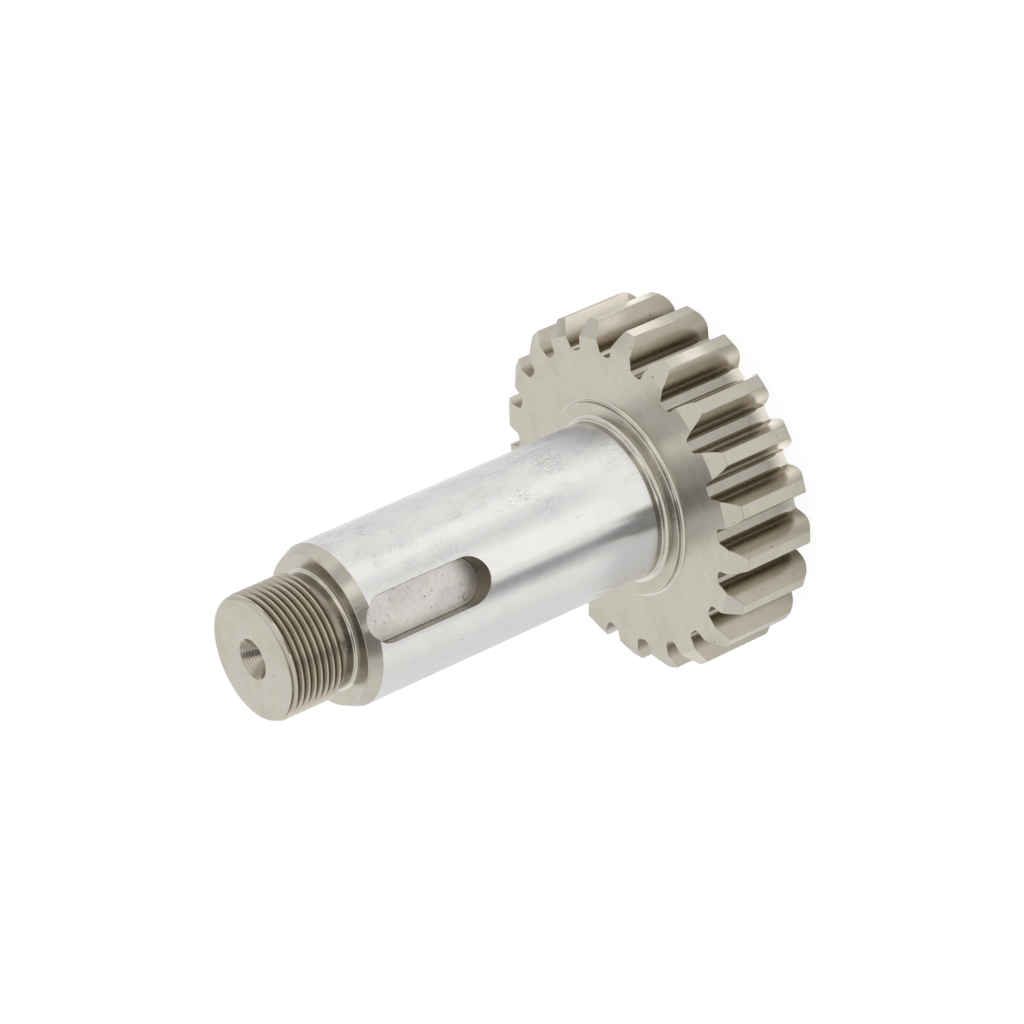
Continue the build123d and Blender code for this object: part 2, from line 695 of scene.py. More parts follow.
    def build_journal(self, start: Ring) -> Ring:
        """Builds the ground journal, its bevel and the keyway.

        Args:
            start: The ring at the journal's foot.

        Returns:
            The ring at the bevel's upper edge.
        """
        keyway, skin = self.keyway, self.skin
        clear = keyway.foot - 2 * keyway.rim
        below = self.turned(start, [(self.journal_radius, clear)], Finish.GROUND)
        stations = [(self.journal_radius, height) for height in (keyway.lower_centre, keyway.upper_centre)]
        stations += self.head_rings
        stations += [(self.shoulder_radius + self.edge / 2, self.shoulder_top - self.edge)]
        rings = [skin.add_ring(self.angles, radius, height) for radius, height in stations]
        lower_rim, upper_rim = [], []
        for column, turn in enumerate(self.end_turns, self.sector_start):
            x = -keyway.rim_radius * cos(turn)
            rise = keyway.rim_radius * sin(turn)
            lower_rim.append(self._rim_point(x, keyway.lower_centre - rise, stations, rings, column))
            upper_rim.append(self._rim_point(x, keyway.upper_centre + rise, stations, rings, column))
        self._join_below(below, rings[0], lower_rim)
        self._join_beside(rings[0], rings[1])
        bevel_foot = self.journal_head + self.edge / 2
        for k in range(1, len(rings) - 1):
            finish = Finish.GROUND if stations[k + 1][1] < bevel_foot else Finish.TURNED
            self._join_above(rings[k], rings[k + 1], upper_rim, finish)
        self._build_pocket(lower_rim + upper_rim[::-1])
        return rings[-1]

    def _rim_point(
        self, x: float, height: float, stations: Sequence[Point], rings: Sequence[Ring], column: int
    ) -> int:
        """Finds or adds a point of the keyway's rim on the turned surface.

        Args:
            x: The point's distance from the keyway's middle plane.
            height: The point's height.
            stations: Radius and height of each ring.
            rings: The rings.
            column: The point's place in a ring, where it meets one.

        Returns:
            The point's index.
        """
        for (_, level), ring in zip(stations, rings):
            if abs(level - height) < TOUCHING:
                return ring[column]
        radii, levels = zip(*stations)
        radius = float(np.interp(height, levels, radii))
        return self.skin.add_points(np.array([[x, -sqrt(radius**2 - x**2), height]]))[0]

    def _join_below(self, low: Ring, high: Ring, rim: Ring) -> None:
        """Joins the ring below the keyway with the one at the centre of its lower round end.

        Args:
            low: The ring below the keyway.
            high: The ring at the lower end's centre.
            rim: The lower end's rim, which takes the place of the ring's own points.
        """
        top = list(high)
        top[self.sector_start:self.sector_start + len(rim)] = rim
        self.skin.add_band(low, top, Finish.GROUND)

    def _join_beside(self, low: Ring, high: Ring) -> None:
        """Joins the rings at the centres of the keyway's round ends, on both sides of its walls.

        Args:
            low: The ring at the lower end's centre.
            high: The ring at the upper end's centre.
        """
        first_open, last_open = self.sector_start, self.sector_start + len(self.end_turns) - 1
        for i in range(len(low)):
            if not first_open <= i < last_open:
                after = (i + 1) % len(low)
                self.skin.add_face((low[i], low[after], high[after], high[i]), Finish.GROUND)

    def _join_above(self, low: Ring, high: Ring, rim: Ring, finish: Finish) -> None:
        """Joins two rings above the centre of the keyway's upper end, down to its rim.

        Args:
            low: The lower ring.
            high: The upper ring.
            rim: The upper end's rim, one point for each column that it crosses.
            finish: The band's finish.
        """
        low_height = self.skin.points[low[0]][2]
        high_height = self.skin.points[high[0]][2]
        bottom = list(low)
        for column, corner in enumerate(rim, self.sector_start):
            rim_height = self.skin.points[corner][2]
            if rim_height >= high_height - TOUCHING:
                bottom[column] = high[column]
            elif rim_height > low_height + TOUCHING:
                bottom[column] = corner
        self.skin.add_band(bottom, high, finish)

    def _build_pocket(self, rim: Ring) -> None:
        """Builds the keyway's broken rim, walls, floor corner and floor.

        Args:
            rim: The keyway's outline at the shaft's surface, up one end and down the other.
        """
        keyway, skin = self.keyway, self.skin
        count = len(self.end_turns)
        turns = np.append(self.end_turns, self.end_turns[::-1])
        ends = np.repeat([-1.0, 1.0], count)
        centres = np.repeat([keyway.lower_centre, keyway.upper_centre], count)
        floor_y = keyway.depth - self.journal_radius
        surface = np.array([skin.points[corner][1] for corner in rim])

        def ring(inset: float, y: Numbers) -> Ring:
            """Adds a closed outline inside the keyway's own.

            Args:
                inset: How far inside it lies.
                y: Its depth, one for all points or one for each.

            Returns:
                The indices of its points.
            """
            radius = keyway.width / 2 - inset
            x = -radius * np.cos(turns)
            z = centres + ends * radius * np.sin(turns)
            return skin.add_points(np.stack([x, y * np.ones_like(x), z], axis=1))

        wall = ring(0.0, surface + keyway.rim)
        # The rim, walls and floor corner take the dark wall finish, as painted shade
        skin.add_band(rim, wall, Finish.KEYWAY_WALL)
        for i in range(keyway.corner_steps + 1):
            turn = pi / 2 * i / keyway.corner_steps
            below = ring(keyway.corner * (1 - cos(turn)), floor_y - keyway.corner * (1 - sin(turn)))
            skin.add_band(wall, below, Finish.KEYWAY_WALL)
            wall = below
        for i in range(count - 1):
            opposite = 2 * count - 1 - i
            skin.add_face((wall[i], wall[i + 1], wall[opposite - 1], wall[opposite]), Finish.KEYWAY)

    def build_neck(self, start: Ring) -> Ring:
        """Builds the shoulder face and the neck.

        Args:
            start: The ring at the bevel's upper edge.

        Returns:
            The ring at the foot of the thread.
        """
        corner = (self.shoulder_radius - self.edge, self.shoulder_top - self.edge)
        edge = arc(corner, self.edge, UP / 2, UP, self.edge_steps)
        hollow = (self.neck_radius + self.neck_fillet, self.shoulder_top + self.neck_fillet)
        fillet = arc(hollow, self.neck_fillet, DOWN, INWARDS, self.fillet_steps)
        ring = self.turned(start, edge + fillet[:1], Finish.TURNED)
        # The neck's fillet takes the lighter finish as painted highlight
        ring = self.turned(ring, fillet[1:], Finish.RING)
        # The neck's finish paints it dark as painted shade
        return self.turned(ring, [(self.neck_radius, self.neck_top - self.neck_run_out)], Finish.NECK)

    def thread_radius(self, height: np.ndarray, turn: np.ndarray) -> np.ndarray:
        """Radius of the threaded end, within its run-out and its lead-in cone.

        Args:
            height: Heights above the gear's back face.
            turn: Angles about the axis, as shares of a full turn.

        Returns:
            The surface's radius at each point.
        """
        thread = self.thread
        form = thread.radius_at(height - self.shaft_top - thread.pitch * (turn + thread.phase))
        run_out_slope = (thread.crest_radius - self.neck_radius) / self.neck_run_out
        run_out = self.neck_radius + (height - (self.neck_top - self.neck_run_out)) * run_out_slope
        lead_slope = (thread.crest_radius - self.lead_radius) / self.lead_in
        lead = self.lead_radius + (self.shaft_top - height) * lead_slope
        return np.minimum(np.minimum(form, run_out), lead)

    def build_thread(self, start: Ring) -> Ring:
        """Builds the helical thread between the neck and the end face.

        Args:
            start: The ring at the foot of the run-out.

        Returns:
            The ring at the end face's edge.
        """
        thread, skin = self.thread, self.skin
        low, high = self.neck_top - self.neck_run_out, self.shaft_top
        turn = (self.angles - self.angles[0]) / (2 * pi)
        top = skin.add_ring(self.angles, self.thread_radius(np.full_like(turn, high), turn), high)
        form = thread.form()
        first = int((low - high) / thread.pitch) - thread.spare_turns
        feet = [high + thread.pitch * (k + thread.phase) for k in range(first, thread.turns_above)]
        levels = [foot + rise for foot in feet for rise, _ in form]
        rows = []
        for level in levels:
            heights = level + thread.pitch * turn
            above, below = heights > low + thread.end_margin, heights < high - thread.end_margin
            row = [top[j] if above[j] else start[j] for j in range(len(turn))]
            inside = above & below
            if inside.any():
                radii = self.thread_radius(heights, turn)
                fresh = skin.add_ring(self.angles[inside], radii[inside], heights[inside])
                for j, corner in zip(np.flatnonzero(inside), fresh):
                    row[j] = corner
            rows.append(row)
        crests, steps = thread.crests(), len(form)
        plain_from = high - self.lead_in * thread.plain_share
        for m, (row, after) in enumerate(zip(rows, rows[1:])):
            # Crests take the lighter finish as painted highlight and the rest the thread finish with
            # painted shade in the troughs; the lead-in's upper share stays turned
            painted_light_finish = Finish.RING if crests[m % steps] else Finish.THREAD
            for j in range(len(turn) - 1):
                finish = Finish.TURNED if levels[m] + thread.pitch * turn[j] > plain_from else painted_light_finish
                skin.add_face((row[j], row[j + 1], after[j + 1], after[j]), finish)
        for m in range(len(rows) - 1 - steps):
            next_turn = (rows[m + steps][0], rows[m + 1 + steps][0])
            skin.add_face((rows[m][-1], *next_turn, rows[m + 1][-1]), Finish.THREAD)
        return top

    def build_centre_hole(self, start: Ring, level: float, inwards: float) -> None:
        """Builds an end face from its outer ring to the centre hole's mouth, and the hole.

        Args:
            start: The end face's outer ring.
            level: Height of the end face.
            inwards: 1 where the hole goes up into the shaft, and -1 where it goes down.
        """
        mouth, pilot = self.centre_mouth, self.centre_pilot
        cone_depth = (mouth - pilot) / tan(radians(self.centre_half_angle))
        drill_tip = self.centre_depth + pilot / tan(radians(self.drill_half_angle))
        face = [(mouth + self.centre_mouth_margin, level), (mouth + self.edge, level)]
        hole = [
            (mouth - self.edge / self.edge_softening, level + inwards * self.edge),
            (pilot, level + inwards * cone_depth),
            (pilot, level + inwards * self.centre_depth),
        ]
        ring = self.turned(start, face, Finish.TURNED)
        ring = self.turned(ring, hole, Finish.CENTRE_HOLE)
        self.skin.add_cap(ring, level + inwards * drill_tip, Finish.CENTRE_HOLE)


class Tree:
    """Short calls that build a node tree. A value is a number, a colour, a vector or a socket."""

    def __init__(self, tree: bpy.types.NodeTree) -> None:
        """Takes the tree to build in."""
        self.tree = tree

    def add(
        self, kind: str, inputs: Mapping[str | int, object] | None = None, **settings: object
    ) -> bpy.types.Node:
        """Adds a node.

        Args:
            kind: The node's type.
            inputs: Values of its inputs, by name or by place.
            **settings: The node's properties.

        Returns:
            The node.
        """
        node = self.tree.nodes.new(kind)
        for key, value in settings.items():
            setattr(node, key, value)
        for key, value in (inputs or {}).items():
            self.feed(node.inputs[key], value)
        return node

    def feed(self, target: Socket, value: object) -> None:
        """Links a socket to an input, or sets the input's own value.

        Args:
            target: The input.
            value: The socket or the value.
        """
        if isinstance(value, Socket):
            self.tree.links.new(value, target)
        else:
            target.default_value = value

    def math(self, operation: str, *values: object, clamp: bool = False) -> Socket:
        """Result of a math node on numbers or sockets."""
        inputs = dict(enumerate(values))
        return self.add("ShaderNodeMath", inputs, operation=operation, use_clamp=clamp).outputs[0]

    def plus(self, first: object, second: object) -> Socket:
        """Sum of two numbers."""
        return self.math("ADD", first, second)

    def minus(self, first: object, second: object) -> Socket:
        """The first number less the second."""
        return self.math("SUBTRACT", first, second)

    def times(self, first: object, second: object) -> Socket:
        """Product of two numbers."""
        return self.math("MULTIPLY", first, second)

    def over(self, first: object, second: object) -> Socket:
        """The first number divided by the second."""
        return self.math("DIVIDE", first, second)

    def vector(self, operation: str, *values: object) -> Socket:
        """Adds a vector math node.

        Args:
            operation: What the node does.
            *values: Its inputs in order.

        Returns:
            The number or the vector that it gives.
        """
        node = self.add("ShaderNodeVectorMath", dict(enumerate(values)), operation=operation)
        return node.outputs["Value" if operation in ("LENGTH", "DOT_PRODUCT") else "Vector"]

    def scaled(self, vector: Socket, scale: object) -> Socket:
        """A vector times a number."""
        return self.add("ShaderNodeVectorMath", {0: vector, "Scale": scale}, operation="SCALE").outputs[0]

    def split(self, vector: Socket) -> Sequence[Socket]:
        """The x, y and z of a vector."""
        return self.add("ShaderNodeSeparateXYZ", {0: vector}).outputs

    def joined(self, *values: object) -> Socket:
        """The vector with these x, y and z."""
        return self.add("ShaderNodeCombineXYZ", dict(enumerate(values))).outputs[0]

    def ramp(
        self, value: object, low: object, high: object, start: object = 0.0, end: object = 1.0
    ) -> Socket:
        """Maps low..high smoothly to start..end, held at both ends."""
        inputs = dict(enumerate((value, low, high, start, end)))
        return self.add("ShaderNodeMapRange", inputs, interpolation_type="SMOOTHSTEP").outputs[0]

    def mix(self, share: object, first: object, second: object) -> Socket:
        """Mixes two colours.

        Args:
            share: The second colour's share.
            first: The first colour.
            second: The second colour.

        Returns:
            The mixed colour.
        """
        whole = [(*given, 1.0) if isinstance(given, tuple) else given for given in (first, second)]
        inputs = {0: share, FIRST_COLOUR: whole[0], SECOND_COLOUR: whole[1]}
        return self.add("ShaderNodeMix", inputs, data_type="RGBA").outputs[MIXED_COLOUR]

    def noise(self, vector: Socket, scale: object, detail: float, roughness: float = 0.5) -> Socket:
        """Value of three-dimensional noise."""
        inputs = {"Vector": vector, "Scale": scale, "Detail": detail, "Roughness": roughness}
        return self.add("ShaderNodeTexNoise", inputs).outputs[0]

    def place(self) -> Socket:
        """Place on the part, in millimetres."""
        return self.scaled(self.add("ShaderNodeTexCoord").outputs["Object"], 1 / MM)

    def group(self, group: bpy.types.NodeTree, **values: object) -> Sequence[Socket]:
        """Outputs of a shared effect, placed with these values for its capitalised inputs."""
        inputs = {key.title(): value for key, value in values.items()}
        return self.add("ShaderNodeGroup", inputs, node_tree=group).outputs


def new_material(name: str, shader: str) -> tuple[bpy.types.Material, Tree, bpy.types.Node]:
    """Starts a material with one shader on its output.

    Args:
        name: The material's name.
        shader: The type of its last shader node.

    Returns:
        The material, its tree and the shader node.
    """
    material = bpy.data.materials.new(name)
    material.use_nodes = True
    material.node_tree.nodes.clear()
    tree = Tree(material.node_tree)
    node = tree.add(shader)
    tree.add("ShaderNodeOutputMaterial", {"Surface": node.outputs[0]})
    return material, tree, node


def new_effect(
    name: str, inputs: Mapping[str, float], outputs: Sequence[str]
) -> tuple[Tree, Sequence[Socket], Mapping[str, Socket]]:
    """Starts a shader node group.

    Args:
        name: The group's name.
        inputs: Names and plain values of its number inputs.
        outputs: Names of its number outputs.

    Returns:
        The tree, what the inputs give in their order, and the sockets of the outputs by name.
    """
    group = bpy.data.node_groups.new(name, "ShaderNodeTree")
    for key, value in inputs.items():
        socket = group.interface.new_socket(key, in_out="INPUT", socket_type="NodeSocketFloat")
        socket.default_value = value
    for key in outputs:
        group.interface.new_socket(key, in_out="OUTPUT", socket_type="NodeSocketFloat")
    tree = Tree(group)
    given = tree.add("NodeGroupInput").outputs
    return tree, [given[key] for key in inputs], tree.add("NodeGroupOutput").inputs


def cloud_edge(tree: Tree, cover: Socket) -> Socket:
    """Level that cloudy noise is above on about this share of a surface.

    Args:
        tree: The effect's tree.
        cover: The share, from 0 to 1.

    Returns:
        The level.
    """
    none, fall = 0.8, 0.6
    return tree.minus(none, tree.times(cover, fall))


class Effects:
    """Surface effects that the finishes share, each one a node group built once."""

    def __init__(self) -> None:
        """Builds the groups."""
        self.recess_shade = self._recess_shade()
        self.tool_marks = self._tool_marks()
        self.stains = self._stains()
        self.pits = self._pits()
        self.scuffs = self._scuffs()

    def _recess_shade(self) -> bpy.types.NodeTree:
        """Nearness to the axis between two radii, a mask for painted shade deep in grooves and tooth gaps.

        Returns:
            The group, which gives a mask.
        """
        tree, (deep, shallow), made = new_effect("recess_shade", {"Deep": 12.6, "Shallow": 13.4}, ("Mask",))
        across_axis = (1.0, 1.0, 0.0)
        radius = tree.vector("LENGTH", tree.vector("MULTIPLY", tree.place(), across_axis))
        tree.feed(made["Mask"], tree.ramp(radius, shallow, deep))
        return tree.tree

    def _tool_marks(self) -> bpy.types.NodeTree:
        """Grooves round the axis, as a lathe or a grinding wheel leaves them, with slow breaks.

        Returns:
            The group, which gives a height.
        """
        tree, (pitch, waver, regular), made = new_effect(
            "tool_marks", {"Pitch": 0.3, "Waver": 0.6, "Regular": 0.0}, ("Height",)
        )
        detail, roughness, least_radius = 2.0, 0.6, 0.01
        x, y, z = tree.split(tree.place())
        radius = tree.math("POWER", tree.plus(tree.times(x, x), tree.times(y, y)), 0.5)
        off_axis = tree.math("MAXIMUM", radius, least_radius)
        breaks = [tree.times(tree.over(side, off_axis), waver) for side in (x, y)]
        ways = tree.joined(tree.over(radius, pitch), tree.over(z, pitch), breaks[0])
        inputs = {"Vector": ways, "W": breaks[1], "Scale": 1.0, "Detail": detail, "Roughness": roughness}
        grooves = tree.add("ShaderNodeTexNoise", inputs, noise_dimensions="4D").outputs[0]
        wave = tree.math("SINE", tree.times(tree.over(tree.plus(radius, z), pitch), pi))
        evened = tree.minus(tree.times(wave, 0.5), tree.minus(grooves, NOISE_MIDDLE))
        tree.feed(made["Height"], tree.plus(grooves, tree.times(evened, regular)))
        return tree.tree

    def _stains(self) -> bpy.types.NodeTree:
        """Cloudy patches with soft edges and a finer mottle inside them.

        Returns:
            The group, which gives a mask and the mottle.
        """
        tree, (size, cover, softness), made = new_effect(
            "stains", {"Size": 6.0, "Cover": 0.4, "Softness": 0.15}, ("Mask", "Mottle")
        )
        detail, roughness = 4.0, 0.62
        finer, fine_detail, fine_roughness = 5.0, 3.0, 0.6
        place = tree.place()
        cloud = tree.noise(place, tree.over(1.0, size), detail, roughness)
        edge = cloud_edge(tree, cover)
        tree.feed(made["Mask"], tree.ramp(cloud, tree.minus(edge, softness), tree.plus(edge, softness)))
        mottle = tree.noise(place, tree.over(finer, size), fine_detail, fine_roughness)
        tree.feed(made["Mottle"], mottle)
        return tree.tree

    def _pits(self) -> bpy.types.NodeTree:
        """Small ragged specks of many sizes and depths, gathered where a slow noise is high.

        Returns:
            The group, which gives a mask.
        """
        tree, (spacing, size, gathering), made = new_effect(
            "pits", {"Spacing": 1.2, "Size": 0.16, "Gathering": 0.5}, ("Mask",)
        )
        ragged_scale, raggedness, slow_scale, gathered = 6.0, 0.35, 0.14, 0.72
        rarity, faintest, flat_share = 3.0, 0.3, 0.5
        place = tree.place()
        ragged = tree.add("ShaderNodeTexNoise", {"Vector": place, "Scale": ragged_scale}).outputs["Color"]
        shift = tree.scaled(tree.vector("SUBTRACT", ragged, (NOISE_MIDDLE,) * 3), raggedness)
        inputs = {"Vector": tree.vector("ADD", place, shift), "Scale": tree.over(1.0, spacing)}
        cells = tree.add("ShaderNodeTexVoronoi", inputs).outputs
        own = tree.add("ShaderNodeSeparateColor", {0: cells["Color"]}).outputs
        patch = tree.ramp(tree.noise(place, slow_scale, 1.0), gathering, gathered)
        reach = tree.times(tree.times(tree.math("POWER", own[0], rarity), patch), size)
        flat = tree.times(reach, flat_share)
        speck = tree.ramp(tree.times(cells["Distance"], spacing), reach, flat)
        darkness = tree.ramp(own[1], 0.0, 1.0, faintest, 1.0)
        tree.feed(made["Mask"], tree.times(speck, darkness))
        return tree.tree

    def _scuffs(self) -> bpy.types.NodeTree:
        """Short fine scratches in many directions inside patches, from contour lines of stretched noise.

        Returns:
            The group, which gives a mask of the scratches and one of their patches.
        """
        tree, (size, width, cover, side, gathering), made = new_effect(
            "scuffs",
            {"Size": 0.8, "Width": 0.02, "Cover": 0.4, "Side": 0.0, "Gathering": 0.0},
            ("Mask", "Patch"),
        )
        turns_and_stretches = ((0.5, 2.6), (-0.9, 2.0), (1.9, 3.2))
        turn_shares = (1.0, 0.7, 1.3)
        cloud_scale, detail, roughness, softness = 0.16, 4.0, 0.65, 0.2
        longer_along_axis = (1.0, 1.0, 0.5)
        place = tree.place()
        lines = None
        for turn, stretch in turns_and_stretches:
            inputs = {
                "Vector": place,
                "Rotation": tuple(turn * share for share in turn_shares),
                "Scale": (1.0, 1.0, 1.0 / stretch),
            }
            mapping = tree.add("ShaderNodeMapping", inputs, vector_type="POINT")
            value = tree.noise(mapping.outputs[0], tree.over(1.0, size), 1.0)
            line = tree.ramp(tree.math("ABSOLUTE", tree.minus(value, NOISE_MIDDLE)), width, 0.0)
            lines = line if lines is None else tree.math("MAXIMUM", lines, line)
        long_place = tree.vector("MULTIPLY", place, longer_along_axis)
        cloud = tree.noise(long_place, cloud_scale, detail, roughness)
        x, y, _ = tree.split(place)
        off_side = tree.minus(tree.math("ARCTAN2", y, x), side)
        nearness = tree.times(tree.math("COSINE", off_side), gathering)
        edge = cloud_edge(tree, cover)
        patch = tree.ramp(tree.plus(cloud, nearness), edge, tree.plus(edge, softness))
        tree.feed(made["Mask"], tree.times(lines, patch))
        tree.feed(made["Patch"], patch)
        return tree.tree


@dataclass(frozen=True)
class SteelFinish:
    """One finish of the steel, with the marks and dirt that its surface carries, and the painted shade
    that some finishes get towards the axis.

    Lengths are millimetres; the shares of marks run from 0 to 1.
    """

    name: str
    colour: Colour
    stain_and_shade_colour: Colour
    pit_colour: Colour = (0.07, 0.06, 0.05)
    pit_blur: float = 0.3
    pit_depth: float = 0.05
    roughness: float = 0.3
    grooved: float = 0.6
    groove_turn: float = 0.25
    mark_pitch: float = 0.3
    mark_waver: float = 0.6
    mark_regular: float = 0.0
    mark_depth: float = 0.0006
    mark_contrast: float = 0.02
    stain_size: float = 6.0
    stain_cover: float = 0.4
    stain_softness: float = 0.15
    stain_strength: float = 0.5
    stain_blur: float = 0.1
    mottle: float = 0.06
    mottle_blur: float = 0.5
    pit_spacing: float = 1.2
    pit_size: float = 0.3
    pit_gathering: float = 0.5
    scuff_size: float = 0.8
    scuff_width: float = 0.02
    scuff_cover: float = 0.3
    scuff_side: float = 0.0
    scuff_gathering: float = 0.0
    scuff_strength: float = 0.0
    scuff_blur: float = 0.05
    scuff_depth: float = 0.002
    # Painted shade: between these radii the colour darkens towards stain_and_shade_colour, most nearest
    # the axis
    recess_shade_deep: float = 12.6
    recess_shade_shallow: float = 13.4
    recess_shade_strength: float = 0.0

    def build(self, effects: Effects) -> bpy.types.Material:
        """Makes the material.

        Args:
            effects: The shared effects.

        Returns:
            The finish as a material.
        """
        material, tree, shader = new_material(self.name, "ShaderNodeBsdfPrincipled")
        shader.inputs["Metallic"].default_value = 1.0
        shader.inputs["Anisotropic"].default_value = self.grooved
        shader.inputs["Anisotropic Rotation"].default_value = self.groove_turn
        tangent = tree.add("ShaderNodeTangent", direction_type="RADIAL", axis="Z")
        tree.feed(shader.inputs["Tangent"], tangent.outputs[0])

        marks = tree.group(
            effects.tool_marks, pitch=self.mark_pitch, waver=self.mark_waver, regular=self.mark_regular
        )["Height"]
        stains = tree.group(
            effects.stains, size=self.stain_size, cover=self.stain_cover, softness=self.stain_softness
        )
        pits = tree.group(
            effects.pits, spacing=self.pit_spacing, size=self.pit_size, gathering=self.pit_gathering
        )["Mask"]
        scuffs = tree.group(
            effects.scuffs,
            size=self.scuff_size,
            width=self.scuff_width,
            cover=self.scuff_cover,
            side=radians(self.scuff_side),
            gathering=self.scuff_gathering,
        )
        recess_shade = tree.group(effects.recess_shade, deep=self.recess_shade_deep, shallow=self.recess_shade_shallow)["Mask"]

        # The mixing share is the larger of the real cloudy stains and the painted shade near the axis
        cloud = tree.times(stains["Mask"], self.stain_strength)
        stain_and_shade = tree.math("MAXIMUM", cloud, tree.times(recess_shade, self.recess_shade_strength))
        shade = tree.times(tree.minus(stains["Mottle"], NOISE_MIDDLE), 2 * self.mottle)
        ring_shade = tree.times(tree.minus(marks, NOISE_MIDDLE), 2 * self.mark_contrast)
        scuff = tree.times(scuffs["Mask"], -self.scuff_strength)
        tone = tree.plus(tree.plus(1.0, tree.plus(shade, ring_shade)), scuff)
        toned = tree.scaled(tree.mix(stain_and_shade, self.colour, self.stain_and_shade_colour), tone)
        tree.feed(shader.inputs["Base Color"], tree.mix(pits, toned, self.pit_colour))

        rough = tree.plus(self.roughness, tree.times(stain_and_shade, self.stain_blur))
        rough = tree.plus(rough, tree.times(scuffs["Patch"], self.scuff_blur * self.scuff_strength))
        rough = tree.plus(rough, tree.times(shade, self.mottle_blur))
        rough = tree.math("ADD", rough, tree.times(pits, self.pit_blur), clamp=True)
        tree.feed(shader.inputs["Roughness"], rough)

        height = tree.minus(tree.times(marks, self.mark_depth), tree.times(pits, self.pit_depth))
        scratch = tree.times(scuffs["Mask"], self.scuff_depth * self.scuff_strength)
        inputs = {"Strength": 1.0, "Distance": MM, "Height": tree.minus(height, scratch)}
        tree.feed(shader.inputs["Normal"], tree.add("ShaderNodeBump", inputs).outputs[0])
        return material


WARM_STEEL: Colour = (0.55, 0.525, 0.455)
STAINED_STEEL: Colour = (0.42, 0.38, 0.30)
BRIGHT_STEEL: Colour = (0.89, 0.88, 0.86)

